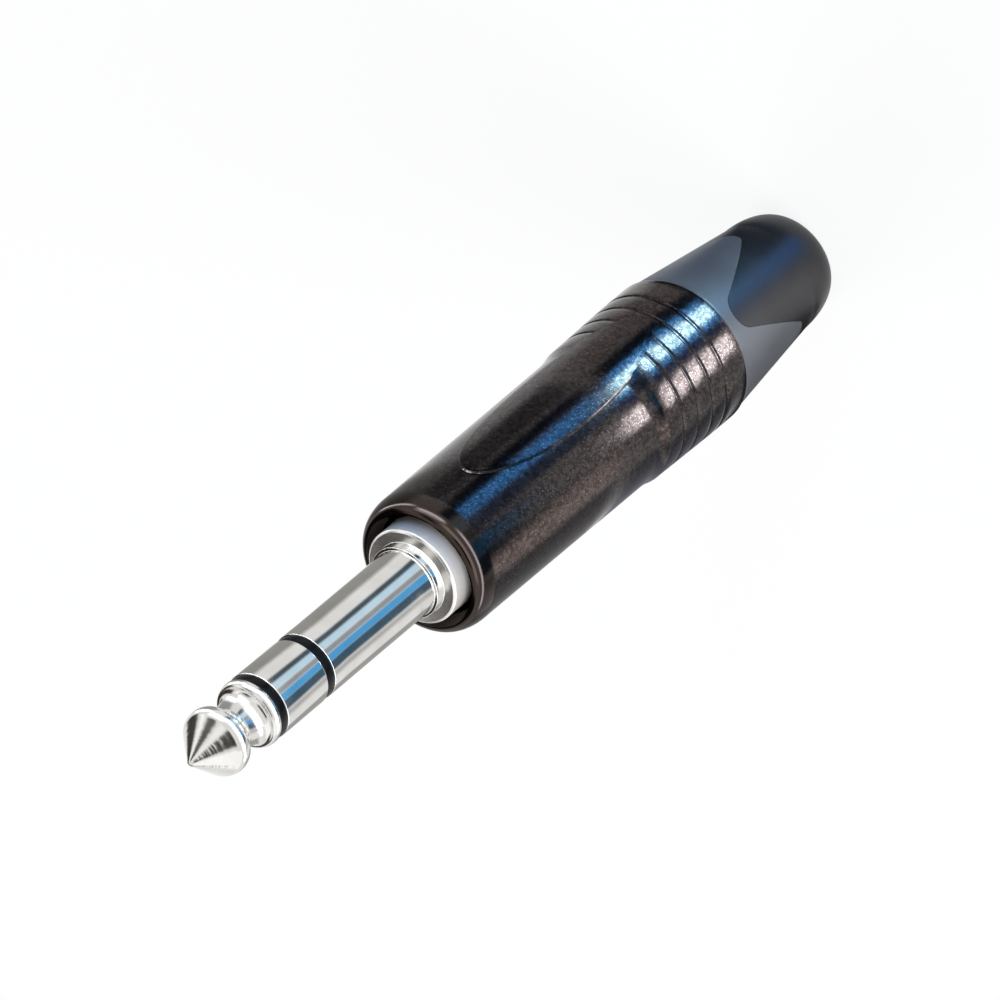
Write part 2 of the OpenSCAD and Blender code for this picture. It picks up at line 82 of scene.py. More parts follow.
# Shell
SHELL_R = 6.61
FLANK_R = 6.74
FRONT_LEN = 2.2
FRONT_DEPTH = 1.0
MOUTH_R = 5.5
MOUTH_DEPTH = 0.9
COLLAR_BORE = 4.65
SHELL_BORE = 5.25
BARREL_AT = 60.0
SHELL_END = 71.4
FLARE_LEN = 1.7
FLARE_BEND = 0.06
BARREL_FRONT_R = 7.02
BARREL_REAR_R = 7.2
BARREL_EDGE = 0.3
GROOVES = 4
GROOVE_PITCH = 2.1
GROOVE_BACK = 3.05
GROOVE_W = 0.32
GROOVE_DEPTH = 0.13

# Plaque
PLAQUE_Z = 52.5
PLAQUE_HALF_LEN = 13.2
PLAQUE_HALF_W = 3.53
PLAQUE_R = 6.91
PLAQUE_REAR_R = 7.16

# Thread
THREAD_PITCH = 1.5
THREAD_TURNS = 3
THREAD_AT = 62.6
PILOT_AT = 67.1
THREAD_BORE = 5.85
PILOT_BORE = 6.0
PILOT_R = 5.95
THREAD_ROOT = 5.35
THREAD_CREST = 5.75
NECK_BORE = 4.95
NECK_EDGE = 0.25

# Boot
BOOT_FRONT_R = 7.05
BOOT_REAR_R = 5.5
BOOT_EDGE = 0.12
TAPER_END = 84.3
FOOT_R = 3.8
CABLE_R = 3.4
CABLE_EDGE = 0.15
WEB_BORE = 3.8
WEB_AT = 73.4
WEB_END = 74.4
CONE_GAP = 0.1
CONE_END_R = 4.1065
CONE_AT = 70.0
PETALS = 3
PETAL_WALL = 1.3
FLOOR_DEPTH = 1.4
VALLEY_Z = 72.8
VALLEY_R = 1.8
PETAL_LEN = 9.2
PETAL_TIP_R = 0.65
VALLEY_TURN = -42
SEAM = 0.035


# ---------------------------------------------------------------------------
# Meshes
# ---------------------------------------------------------------------------

def make_mesh(name, verts, faces, sharp=35):
    """A piece from points in millimetres, smooth but for edges sharper than sharp degrees."""
    mesh = bpy.data.meshes.new(name)
    mesh.from_pydata([(x * MM, y * MM, (HEIGHT - z) * MM) for x, y, z in verts], [], faces)
    mesh.validate()
    mesh.shade_smooth()
    mesh.set_sharp_from_angle(angle=math.radians(sharp))
    piece = bpy.data.objects.new(name, mesh)
    bpy.context.scene.collection.objects.link(piece)
    return piece


def around(columns, points_at):
    """Points and faces of a closed ring that has the same number of profile points at each angle."""
    verts, faces = [], []
    count = len(points_at(0.0))
    for i in range(columns):
        a = 2 * math.pi * i / columns
        verts += [(r * math.sin(a), -r * math.cos(a), z) for r, z in points_at(a)]
    for i in range(columns):
        j = (i + 1) % columns
        for k in range(count):
            m = (k + 1) % count
            faces.append((i * count + k, i * count + m, j * count + m, j * count + k))
    return verts, faces


def lathe(name, profile, columns=256, sharp=35):
    """A closed piece turned from a closed profile of (radius, z). Points on the axis are joined."""
    verts, faces = around(columns, lambda a: profile)
    merged, index, kept = {}, [], []
    for n, (x, y, z) in enumerate(verts):
        key = (0.0, 0.0, round(z, 6)) if math.hypot(x, y) < 1e-6 else (n,)
        if key not in merged:
            merged[key] = len(kept)
            kept.append((x, y, z))
        index.append(merged[key])
    joined = []
    for face in faces:
        ring = []
        for v in face:
            if index[v] not in ring:
                ring.append(index[v])
        if len(ring) > 2:
            joined.append(tuple(ring))
    return make_mesh(name, kept, joined, sharp)


def oval(cr, cz, rr, rz, start, end, steps):
    """Points of an oval arc round (cr, cz), angles in degrees."""
    angles = [math.radians(start + (end - start) * i / steps) for i in range(steps + 1)]
    return [(cr + rr * math.cos(a), cz + rz * math.sin(a)) for a in angles]


def soften(profile, radius, steps=4, least=20):
    """The profile with each corner sharper than least degrees rounded."""
    out, count = [], len(profile)
    for i, p in enumerate(profile):
        a, b = Vector(profile[i - 1]), Vector(profile[(i + 1) % count])
        p = Vector(p)
        u, v = a - p, b - p
        if u.length < 1e-6 or v.length < 1e-6 or p.x < 1e-6:
            out.append(tuple(p))
            continue
        turn = math.pi - u.angle(v)
        if math.degrees(turn) < least:
            out.append(tuple(p))
            continue
        cut = min(radius * math.tan(turn / 2), 0.45 * u.length, 0.45 * v.length)
        start, end = p + u.normalized() * cut, p + v.normalized() * cut
        for k in range(steps + 1):
            t = k / steps
            out.append(tuple(start * (1 - t) ** 2 + p * 2 * t * (1 - t) + end * t ** 2))
    return out


def split(profile, longest):
    """The closed profile with points added so that no edge is longer than longest."""
    out = []
    for i, (r, z) in enumerate(profile):
        s, w = profile[(i + 1) % len(profile)]
        steps = max(1, math.ceil(math.hypot(s - r, w - z) / longest))
        out += [(r + (s - r) * k / steps, z + (w - z) * k / steps) for k in range(steps)]
    return out


def along(z, z0, v0, z1, v1):
    return v0 + (v1 - v0) * (z - z0) / (z1 - z0)


# ---------------------------------------------------------------------------
# Finger
# ---------------------------------------------------------------------------

BAND_AT = TIP_LEN
RING_AT = BAND_AT + BAND_W
REAR_BAND_AT = RING_AT + RING_LEN
SLEEVE_AT = REAR_BAND_AT + BAND_W
BAND_R = FINGER_R - BAND_SINK


def nose_profile():
    slope = math.radians(NOSE_ANGLE)
    cone_end = NOSE_R * (1 - math.sin(slope)) + (NOSE_EDGE_R - NOSE_R * math.cos(slope)) / math.tan(slope)
    crest_r = FINGER_R - BAND_SINK / 3
    swing = math.degrees(math.acos((NOSE_EDGE_R - crest_r + CREST_ROUND) / CREST_ROUND))
    crest_half = CREST_LEN / 2
    rise = BAND_AT - NOSE_LAND - SHOULDER_LEN
    waist_half = (rise - cone_end - CREST_LEN) / 2
    top = oval(0, NOSE_R, NOSE_R, NOSE_R, -90, -NOSE_ANGLE, 8)
    top += oval(crest_r - CREST_ROUND, cone_end + crest_half, CREST_ROUND,
                crest_half / math.sin(math.radians(swing)), -swing, swing, 20)
    top += oval(NOSE_EDGE_R, cone_end + CREST_LEN + waist_half, NOSE_EDGE_R - WAIST_R,
                waist_half, -90, -270, 32)[1:-1]
    top += oval(NOSE_EDGE_R, rise + SHOULDER_LEN, FINGER_R - NOSE_EDGE_R, SHOULDER_LEN, -90, 0, 14)
    return soften(top + [(FINGER_R, BAND_AT), (TIP_ROD_R, BAND_AT), (TIP_ROD_R, TIP_ROD_END),
                         (0, TIP_ROD_END)], 0.04, 3, 24)


def band_profile(tube, at, end):
    return soften([(tube[0], at), (BAND_R, at), (BAND_R, at + BAND_W), (tube[1], at + BAND_W),
                   (tube[1], end), (tube[0], end)], 0.02, 2)


def ring_profile():
    return soften([
        (RING_TUBE[0], RING_AT), (FINGER_R, RING_AT), (FINGER_R, REAR_BAND_AT),
        (RING_TUBE[1], REAR_BAND_AT), (RING_TUBE[1], RING_TUBE_END), (RING_TUBE[0], RING_TUBE_END)
    ], LAND_EDGE)


def sleeve_profile():
    front = soften([(SLEEVE_BORE, SLEEVE_AT), (FINGER_R, SLEEVE_AT), (FINGER_R, STEP_AT),
                    (STEP_R, STEP_AT), (STEP_R, COLLAR_AT), (COLLAR_R - COLLAR_EDGE, COLLAR_AT),
                    (COLLAR_R, COLLAR_AT + COLLAR_EDGE), (COLLAR_R, SHOULDER_AT),
                    (INSERT_R, SHOULDER_AT), (INSERT_R, FLANGE_END), (SPIGOT_R, FLANGE_END),
                    (SPIGOT_R, FLANGE_END + SPIGOT_LEN), (SLEEVE_BORE, FLANGE_END + SPIGOT_LEN)], 0.07)
    return split(front, 2)


# ---------------------------------------------------------------------------
# Shell and plaque
# ---------------------------------------------------------------------------

def barrel_r(z):
    return along(z, BARREL_AT, BARREL_FRONT_R, SHELL_END - GROOVE_BACK, BARREL_REAR_R)


def shell_r(z):
    """Radius of the shell's outside without its grooves and rounded ends."""
    if z < BARREL_AT - FLARE_LEN:
        return along(z, SHELL_AT + FRONT_LEN, SHELL_R, BARREL_AT - FLARE_LEN, FLANK_R)
    if z < BARREL_AT:
        t = (z - BARREL_AT + FLARE_LEN) / FLARE_LEN
        return FLANK_R + FLARE_BEND * 2 * t + (BARREL_FRONT_R - FLANK_R - 2 * FLARE_BEND) * t * t
    return min(barrel_r(z), BARREL_REAR_R)


def shell_profile():
    outside = [(MOUTH_R, SHELL_AT)]
    outside += oval(SHELL_R - FRONT_DEPTH, SHELL_AT + FRONT_LEN, FRONT_DEPTH, FRONT_LEN, -90, 0, 28)
    z = SHELL_AT + FRONT_LEN + 0.6
    while z < BARREL_AT - FLARE_LEN:
        outside.append((shell_r(z), z))
        z += 0.6
    outside += [(shell_r(BARREL_AT - FLARE_LEN * (1 - k / 8)), BARREL_AT - FLARE_LEN * (1 - k / 8))
                for k in range(9)]
    for k in range(GROOVES - 1, -1, -1):
        middle = SHELL_END - GROOVE_BACK - k * GROOVE_PITCH
        r = barrel_r(middle)
        half = GROOVE_W / 2
        lip = 0.1
        outside += [(barrel_r(middle - half - 0.5), middle - half - 0.5)]
        outside += [(r, middle - half - lip), (r - 0.02, middle - half - 0.02)]
        outside += oval(r - 0.04, middle, GROOVE_DEPTH - 0.04, half, 270, 90, 8)
        outside += [(r - 0.02, middle + half + 0.02), (r, middle + half + lip)]
    outside += [(BARREL_REAR_R, SHELL_END - GROOVE_BACK + 0.7), (BARREL_REAR_R, SHELL_END - 1)]
    outside += oval(BARREL_REAR_R - BARREL_EDGE, SHELL_END - BARREL_EDGE, BARREL_EDGE, BARREL_EDGE, 0, 90, 8)
    inside = soften([
        (PILOT_BORE + NECK_EDGE, SHELL_END), (PILOT_BORE, SHELL_END - NECK_EDGE), (PILOT_BORE, PILOT_AT),
        (THREAD_BORE, PILOT_AT), (THREAD_BORE, THREAD_AT - THREAD_PITCH / 2),
        (SHELL_BORE, THREAD_AT - THREAD_PITCH / 2), (SHELL_BORE, SHOULDER_AT),
        (COLLAR_BORE, SHOULDER_AT), (COLLAR_BORE, SHELL_AT + MOUTH_DEPTH)
    ], 0.03, 2)
    return outside + inside


def plaque_mesh():
    """Raised oval with a bevelled and rounded rim, closed below inside the shell's wall."""
    # rim: how far outside the oval, and how far below the plaque's own surface
    rim = [(-0.44, 0.0), (-0.36, 0.004), (-0.30, 0.018), (-0.24, 0.045), (-0.08, 0.135),
           (0.08, 0.225), (0.16, 0.275), (0.30, 0.39), (0.46, 0.52)]
    rings, spokes = 14, 360
    verts, faces = [], []
    shrink = 0.012

    def point(dz, dx, drop):
        z = PLAQUE_Z + dz
        top = along(z, PLAQUE_Z - PLAQUE_HALF_LEN, PLAQUE_R, PLAQUE_Z + PLAQUE_HALF_LEN, PLAQUE_REAR_R)
        r = top - drop - shrink
        a = dx / PLAQUE_R
        return (r * math.sin(a), -r * math.cos(a), z)

    half_w = PLAQUE_R * math.asin(PLAQUE_HALF_W / PLAQUE_R)
    levels = [(k / rings, 0.0, 0.0) for k in range(1, rings + 1)] + [(1.0, o, d) for o, d in rim]
    verts.append(point(0, 0, 0))
    for t, offset, drop in levels:
        for i in range(spokes):
            a = 2 * math.pi * i / spokes
            length, width = PLAQUE_HALF_LEN - 0.44, half_w - 0.44
            if t < 1:
                dz, dx = t * length * math.cos(a), t * width * math.sin(a)
            else:
                # square to the oval
                nz, nx = math.cos(a) / PLAQUE_HALF_LEN, math.sin(a) / half_w
                size = math.hypot(nz, nx)
                dz = PLAQUE_HALF_LEN * math.cos(a) + offset * nz / size
                dx = half_w * math.sin(a) + offset * nx / size
            verts.append(point(dz, dx, drop))
    base = len(verts)
    verts.append(point(0, 0, 0.52))
    last = 1 + (len(levels) - 1) * spokes
    for i in range(spokes):
        j = (i + 1) % spokes
        faces.append((0, 1 + i, 1 + j))
        for k in range(len(levels) - 1):
            a, b = 1 + k * spokes, 1 + (k + 1) * spokes
            faces.append((a + i, b + i, b + j, a + j))
        faces.append((base, last + j, last + i))
    return verts, faces


# ---------------------------------------------------------------------------
# Boot
# ---------------------------------------------------------------------------

def boot_r(z):
    return along(z, SHELL_END, BOOT_FRONT_R, TAPER_END, BOOT_REAR_R)


HALF_PITCH = boot_r(VALLEY_Z + PETAL_LEN) * math.sin(math.pi / PETALS)
TIP_Y = PETAL_LEN - PETAL_TIP_R
REACH = TIP_Y - VALLEY_R
SIDE = math.atan2(HALF_PITCH, REACH) - math.asin((VALLEY_R + PETAL_TIP_R) / math.hypot(HALF_PITCH, REACH))


def valley_y(x, grow):
    """Height of the valley's edge over its bottom at x beside its middle. grow widens the valley."""
    x = abs(x)
    low, tip = VALLEY_R + grow, PETAL_TIP_R - grow
    if x <= low * math.cos(SIDE):
        return VALLEY_R - math.sqrt(low * low - x * x)
    if x >= HALF_PITCH:
        return TIP_Y + tip
    if x >= HALF_PITCH - tip * math.cos(SIDE):
        return TIP_Y + math.sqrt(max(tip * tip - (HALF_PITCH - x) ** 2, 0))
    return VALLEY_R - low * math.sin(SIDE) + (x - low * math.cos(SIDE)) / math.tan(SIDE)


def edge_z(angle, grow):
    """Where the boot's two pieces meet at an angle round the axis."""
    turn = 2 * math.pi / PETALS
    a = (angle - math.radians(VALLEY_TURN) + turn / 2) % turn - turn / 2
    low, high = VALLEY_Z - 1, VALLEY_Z + PETAL_LEN + 1
    for _ in range(40):
        z = (low + high) / 2
        if z - VALLEY_Z < valley_y(boot_r(z) * math.sin(a), grow):
            low = z
        else:
            high = z
    return (low + high) / 2


def core_points(a):
    edge = edge_z(a, SEAM)
    inner = edge_z(a, 0)
    neck = [
        (NECK_BORE, THREAD_AT), (THREAD_ROOT - NECK_EDGE, THREAD_AT),
        (THREAD_ROOT, THREAD_AT + NECK_EDGE), (THREAD_ROOT, PILOT_AT + NECK_EDGE),
        (PILOT_R - NECK_EDGE, PILOT_AT + NECK_EDGE), (PILOT_R, PILOT_AT + 2 * NECK_EDGE),
        (PILOT_R, SHELL_END), (BOOT_FRONT_R - BOOT_EDGE, SHELL_END),
        (BOOT_FRONT_R - BOOT_EDGE * 0.3, SHELL_END + BOOT_EDGE * 0.3)
    ]
    start = SHELL_END + BOOT_EDGE
    rows = 14
    skin = [(boot_r(z), z) for z in (start + (inner - SEAM - start) * k / rows for k in range(rows + 1))]
    rim = [(boot_r(edge) - SEAM, edge)] if edge < inner else [(boot_r(inner) - SEAM, inner)]
    low = inner if inner < WEB_END else inner
    wall = FLOOR_DEPTH if inner < WEB_END else PETAL_WALL
    return neck + skin + rim + [
        (boot_r(low) - wall, low), (boot_r(WEB_END) - wall, WEB_END), (WEB_BORE, WEB_END),
        (WEB_BORE, WEB_AT + CONE_GAP), (CONE_END_R, WEB_AT + CONE_GAP), (CONE_END_R, WEB_AT),
        (NECK_BORE, CONE_AT)
    ]


def cover_points(a):
    inner = edge_z(a, 0)
    wall = FLOOR_DEPTH if inner < WEB_END else PETAL_WALL
    rows = 14
    start = inner + SEAM
    skin = [(boot_r(z), z) for z in (start + (TAPER_END - start) * k / rows for k in range(rows))]
    end = oval(FOOT_R, TAPER_END, BOOT_REAR_R - FOOT_R, HEIGHT - TAPER_END, 0, 90, 28)
    hole = [(CABLE_R + CABLE_EDGE, HEIGHT), (CABLE_R + 0.04, HEIGHT - 0.05), (CABLE_R, HEIGHT - CABLE_EDGE)]
    return [(boot_r(inner) - SEAM, inner)] + skin + end + hole + [
        (CABLE_R, WEB_END), (boot_r(WEB_END) - wall, WEB_END), (boot_r(inner) - wall, inner)
    ]


def thread_mesh():
    """The screw ridge on the boot's neck, running out at both ends."""
    steps = 96
    total = int(steps * (THREAD_TURNS - 0.35))
    verts, faces = [], []
    for i in range(total + 1):
        a = 2 * math.pi * i / steps
        z = THREAD_AT + 0.55 + THREAD_PITCH * i / steps
        grow = min(1, i / 20, (total - i) / 20)
        crest = THREAD_ROOT + (THREAD_CREST - THREAD_ROOT) * grow
        foot = THREAD_ROOT - 0.03
        for r, dz in ((foot, -0.42), (crest, -0.12), (crest, 0.12), (foot, 0.42)):
            verts.append((r * math.sin(-a), -r * math.cos(-a), z + dz * (0.3 + 0.7 * grow)))
    for i in range(total):
        for k in range(4):
            m = (k + 1) % 4
            faces.append((4 * i + k, 4 * i + 4 + k, 4 * i + 4 + m, 4 * i + m))
    faces.append((0, 1, 2, 3))
    faces.append((4 * total + 3, 4 * total + 2, 4 * total + 1, 4 * total))
    return verts, faces


# ---------------------------------------------------------------------------
# Materials
# ---------------------------------------------------------------------------

class Nodes:
    """A material's nodes, made and linked by short calls."""

    def __init__(self, name):
        self.material = bpy.data.materials.new(name)
        self.material.use_nodes = True
        self.tree = self.material.node_tree
        self.shader = self.tree.nodes["Principled BSDF"]
        self.place = self.add("ShaderNodeTexCoord").outputs["Object"]

    def add(self, kind, links=(), **values):
        node = self.tree.nodes.new(kind)
        for key, value in values.items():
            setattr(node, key, value)
        for socket, value in dict(links).items():
            self.put(node, socket, value)
        return node

    def put(self, node, socket, value):
        if isinstance(value, bpy.types.NodeSocket):
            self.tree.links.new(value, node.inputs[socket])
        else:
            node.inputs[socket].default_value = value

    def noise(self, vector, scale, detail=2.0, rough=0.5, distort=0.0):
        return self.add("ShaderNodeTexNoise", {
            "Vector": vector, "Scale": scale, "Detail": detail, "Roughness": rough,
            "Distortion": distort}).outputs["Fac"]

    def stretch(self, x, y, z):
        return self.add("ShaderNodeMapping", {"Vector": self.place, "Scale": (x, y, z)}).outputs["Vector"]

    def ramp(self, value, low, high, to_low, to_high):
        return self.add("ShaderNodeMapRange", {
            "Value": value, "From Min": low, "From Max": high, "To Min": to_low, "To Max": to_high,
        }).outputs["Result"]

    def math(self, operation, a, b=0.0):
        node = self.add("ShaderNodeMath", operation=operation)
        self.put(node, 0, a)
        self.put(node, 1, b)
        return node.outputs[0]

    def mix(self, factor, a, b):
        node = self.add("ShaderNodeMix", data_type="RGBA")
        self.put(node, 0, factor)
        self.put(node, 6, a)
        self.put(node, 7, b)
        return node.outputs[2]

    def bump(self, height, distance, strength=1.0, normal=None):
        links = {"Height": height, "Distance": distance, "Strength": strength}
        if normal is not None:
            links["Normal"] = normal
        return self.add("ShaderNodeBump", links).outputs["Normal"]

    def set(self, **values):
        names = {"color": "Base Color", "rough": "Roughness", "metal": "Metallic", "normal": "Normal",
                 "specular": "Specular IOR Level", "coat": "Coat Weight", "coat_rough": "Coat Roughness",
                 "coat_tint": "Coat Tint", "sheen": "Sheen Weight", "sheen_rough": "Sheen Roughness",
                 "aniso": "Anisotropic"}
        for key, value in values.items():
            self.put(self.shader, names[key], value)
        return self.material


def height_from_nose(n):
    """Distance behind the nose in millimetres."""
    z = n.add("ShaderNodeSeparateXYZ", {0: n.place}).outputs["Z"]
    return n.math("MULTIPLY", n.math("SUBTRACT", HEIGHT * MM, z), 1 / MM)


def nickel(name, rough, ring_depth):
    """Nickel plate over turned brass. Its rings are coarser on the nose and coarsest on the collar,
    whose side is made less metallic and painted near-white: a painted highlight for the bright reflection of its
    turned rings."""
    n = Nodes(name)
    axes = n.add("ShaderNodeSeparateXYZ", {0: n.place}).outputs
    across = n.math("SQRT", n.math("ADD", n.math("MULTIPLY", axes[0], axes[0]),
                                   n.math("MULTIPLY", axes[1], axes[1])))
    turned = n.add("ShaderNodeCombineXYZ", {0: across, 2: axes[2]}).outputs[0]
    fine = n.noise(turned, 9000, 2, 0.6)
    coarse = n.noise(turned, 3300, 1, 0.5)
    haze = n.noise(n.place, 420, 3, 0.6)
    z = height_from_nose(n)
    nose = n.ramp(z, 3.3, 2.7, 0, 1)
    collar = n.ramp(z, COLLAR_AT - 0.15, COLLAR_AT - 0.02, 0, 1)
    # mask of the collar's side, where the painted highlight goes
    painted_white_side = n.ramp(across, (COLLAR_R - 0.12) * MM, (COLLAR_R - 0.02) * MM, 0, 1)
    front = n.ramp(z, BAND_AT - 0.1, BAND_AT - 0.5, 0, 1)
    dimple = n.noise(n.place, 2600, 2, 0.5)
    height = n.math("ADD", n.math("MULTIPLY", fine, n.math("ADD", n.math("MULTIPLY", collar, 1.6), 1.0)),
                    n.math("MULTIPLY", coarse, n.math("ADD", n.math("MULTIPLY", nose, 19.0), 1.0)))
    height = n.math("ADD", height, n.math("MULTIPLY", n.math("MULTIPLY", dimple, front), 5.0))
    plate = n.mix(n.ramp(haze, 0.35, 0.7, 0, 1), (0.66, 0.648, 0.62, 1), (0.73, 0.72, 0.70, 1))
    # painted highlight: the collar's side is mixed towards near-white, standing in for the bright reflection of its
    # turned rings
    color = n.mix(painted_white_side, plate, (0.98, 0.93, 0.87, 1))
    rough_map = n.math("ADD", n.ramp(haze, 0.3, 0.7, rough * 0.8, rough * 1.25), n.math("MULTIPLY", collar, 0.12))
    rough_map = n.math("ADD", rough_map, n.math("MULTIPLY", front, 0.06))
    metal = n.math("SUBTRACT", 1.0, n.math("MULTIPLY", painted_white_side, 0.65))
    return n.set(color=color, rough=rough_map, metal=metal, normal=n.bump(height, ring_depth * MM))


def gloss_black(name):
    """Glossy moulded insulator with a faint moulding haze."""
    n = Nodes(name)
    haze = n.noise(n.place, 700, 3, 0.6)
    color = n.mix(haze, (0.003, 0.003, 0.004, 1), (0.007, 0.007, 0.008, 1))
    return n.set(color=color, rough=n.ramp(haze, 0.3, 0.7, 0.16, 0.26), specular=0.1, normal=n.bump(haze, 0.002 * MM))


def black_chrome(name, grain):
    """Black plating over a finely textured casting. The grain fades out on the rounded front."""
    n = Nodes(name)
    z = height_from_nose(n)
    fade = n.ramp(z, SHELL_AT + 1.0, SHELL_AT + 2.6, 0, 1)
    speck = n.noise(n.place, 5400, 2, 0.65)
    coarse = n.noise(n.place, 2100, 2, 0.6)
    cloud = n.noise(n.place, 260, 3, 0.55)
    height = n.math("ADD", n.math("MULTIPLY", speck, 0.6), n.math("MULTIPLY", coarse, 0.6))
    height = n.math("MULTIPLY", height, fade)
    mottle = n.math("MULTIPLY", n.ramp(coarse, 0.40, 0.62, 0, 1), fade)
    base = n.mix(fade, (0.047, 0.036, 0.032, 1), (0.034, 0.028, 0.027, 1))
    tone = n.mix(mottle, base, (0.066, 0.057, 0.056, 1))
    glint = n.ramp(speck, 0.58, 0.66, 0, 1)
    color = n.mix(n.math("MULTIPLY", glint, fade), tone, (0.125, 0.113, 0.11, 1))
    rough = n.math("ADD", n.ramp(cloud, 0.3, 0.7, 0.10, 0.14), n.math("MULTIPLY", fade, 0.035))
    return n.set(color=color, rough=rough, metal=1.0, normal=n.bump(height, grain * MM))


def boot_plastic(name, dark, light, rough, grain, specular):
    """Satin moulded plastic with a fine eroded texture."""
    n = Nodes(name)
    fine = n.noise(n.place, 6200, 2, 0.6)
    patch = n.noise(n.place, 210, 3, 0.55)
    mixed = n.math("ADD", n.math("MULTIPLY", patch, 0.7), n.math("MULTIPLY", fine, 0.3))
    color = n.mix(n.ramp(mixed, 0.35, 0.65, 0, 1), dark, light)
    rough_map = n.ramp(patch, 0.3, 0.7, rough - 0.04, rough + 0.05)
    return n.set(color=color, rough=rough_map, specular=specular, normal=n.bump(fine, grain * MM))


def plain_part(name, dark, light, rough, metal, scale, depth):
    """An inner piece: clouded colour and fine surface."""
    n = Nodes(name)
    cloud = n.noise(n.place, scale, 4, 0.6)
    fine = n.noise(n.place, scale * 9, 2, 0.6)
    color = n.mix(n.ramp(cloud, 0.3, 0.7, 0, 1), dark, light)
    rough_map = n.ramp(fine, 0.3, 0.7, rough - 0.05, rough + 0.05)
    return n.set(color=color, rough=rough_map, metal=metal, normal=n.bump(fine, depth * MM))


NICKEL = nickel("nickel_turned", 0.09, 0.0011)
BLACK_BAND = gloss_black("insulator_black")
CHROME = black_chrome("black_chrome_grained", 0.0048)
PLAQUE = black_chrome("black_chrome_plaque", 0.003)
BOOT_GREY = boot_plastic("boot_grey_satin", (0.079, 0.083, 0.092, 1), (0.098, 0.102, 0.112, 1), 0.42, 0.009, 0.3)
BOOT_BLACK = boot_plastic("boot_soft_black", (0.006, 0.005, 0.006, 1), (0.010, 0.009, 0.010, 1), 0.38, 0.02, 0.25)
CARRIER = plain_part("carrier_black", (0.03, 0.03, 0.03, 1), (0.05, 0.05, 0.05, 1), 0.45, 0, 500, 0.003)
TINNED = plain_part("tinned_brass", (0.62, 0.60, 0.54, 1), (0.74, 0.72, 0.67, 1), 0.28, 1, 700, 0.002)
WASHER = plain_part("washer_board", (0.52, 0.40, 0.24, 1), (0.66, 0.54, 0.36, 1), 0.6, 0, 900, 0.006)
WHITE_CHUCK = plain_part("chuck_white", (0.70, 0.69, 0.64, 1), (0.80, 0.79, 0.75, 1), 0.42, 0, 400, 0.003)


# ---------------------------------------------------------------------------
# Pieces
# ---------------------------------------------------------------------------

def dress(piece, material, body, node):
    piece.data.materials.append(material)
    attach(piece, body)
    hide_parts(node)
    return piece


dress(lathe("nose", nose_profile(), 320, 60), NICKEL, "plug_body", "tip_contact")
dress(lathe("front_band", band_profile(TIP_TUBE, BAND_AT, RING_TUBE_END)), BLACK_BAND, "plug_body",
      "tip_insulator")
dress(lathe("ring", ring_profile()), NICKEL, "plug_body", "ring_contact")
dress(lathe("rear_band", band_profile(INSULATION, REAR_BAND_AT, CARRIER_END)), BLACK_BAND, "plug_body",
      "ring_insulator")
dress(lathe("sleeve", sleeve_profile()), NICKEL, "plug_body", "sleeve_contact")
dress(lathe("shell_tube", shell_profile(), 320), CHROME, "plug_body", "shell")
dress(make_mesh("name_plate", *plaque_mesh(), 50), PLAQUE, "plug_body", "shell")
dress(make_mesh("boot_petals", *around(480, core_points), 32), BOOT_GREY, "boot", "boot_core")
dress(make_mesh("boot_sleeve", *around(480, cover_points), 32), BOOT_BLACK, "boot", "boot_cover")
dress(make_mesh("boot_thread", *thread_mesh(), 30), BOOT_GREY, "boot", "boot_core")

for node, material in {
    "terminal_carrier": CARRIER, "sleeve_terminal": TINNED, "ring_terminal": TINNED,
    "tip_terminal": TINNED, "terminal_washer": WASHER, "cable_chuck": WHITE_CHUCK,
}.items():
    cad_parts[node].data.materials.clear()
    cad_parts[node].data.materials.append(material)


# ---------------------------------------------------------------------------
# Camera
# ---------------------------------------------------------------------------

camera = bpy.data.objects.new("camera", bpy.data.cameras.new("camera"))
bpy.context.scene.collection.objects.link(camera)
bpy.context.scene.camera = camera
camera.data.sensor_width = 36
camera.data.lens = 428.4
camera.data.clip_start = 0.05
camera.data.clip_end = 100
RIGHT = Vector((-0.8147028, -0.0261244, -0.5792900))
UP = Vector((0.3718303, -0.7901124, -0.4873034))
BACK = Vector((-0.4449737, -0.6124050, 0.6534206))
EYE = Vector((-0.4519961, -0.6223933, 0.7078770))
camera.matrix_world = Matrix((
    (RIGHT.x, UP.x, BACK.x, EYE.x), (RIGHT.y, UP.y, BACK.y, EYE.y),
    (RIGHT.z, UP.z, BACK.z, EYE.z), (0, 0, 0, 1)))
CAMERA_TURN = -36.0


# ---------------------------------------------------------------------------
# Studio
# ---------------------------------------------------------------------------

FLOOR_WHITE = 0.88
ROOM_LEVEL = 0.33


def white_for_lens(tree, lit, share):
    """Mixes lit with a second shader by share, for what the camera, metal and glass see."""
    path = tree.nodes.new("ShaderNodeLightPath")
    seen = tree.nodes.new("ShaderNodeMath")
    seen.operation = "MAXIMUM"
    gloss = tree.nodes.new("ShaderNodeMath")
    gloss.operation = "MAXIMUM"
    tree.links.new(path.outputs["Is Glossy Ray"], gloss.inputs[0])
    tree.links.new(path.outputs["Is Transmission Ray"], gloss.inputs[1])
    tree.links.new(path.outputs["Is Camera Ray"], seen.inputs[0])
    tree.links.new(gloss.outputs[0], seen.inputs[1])
    part = tree.nodes.new("ShaderNodeMath")
    part.operation = "MULTIPLY"
    part.inputs[1].default_value = share
    tree.links.new(seen.outputs[0], part.inputs[0])
    mix = tree.nodes.new("ShaderNodeMixShader")
    tree.links.new(part.outputs[0], mix.inputs[0])
    tree.links.new(lit, mix.inputs[1])
    return mix


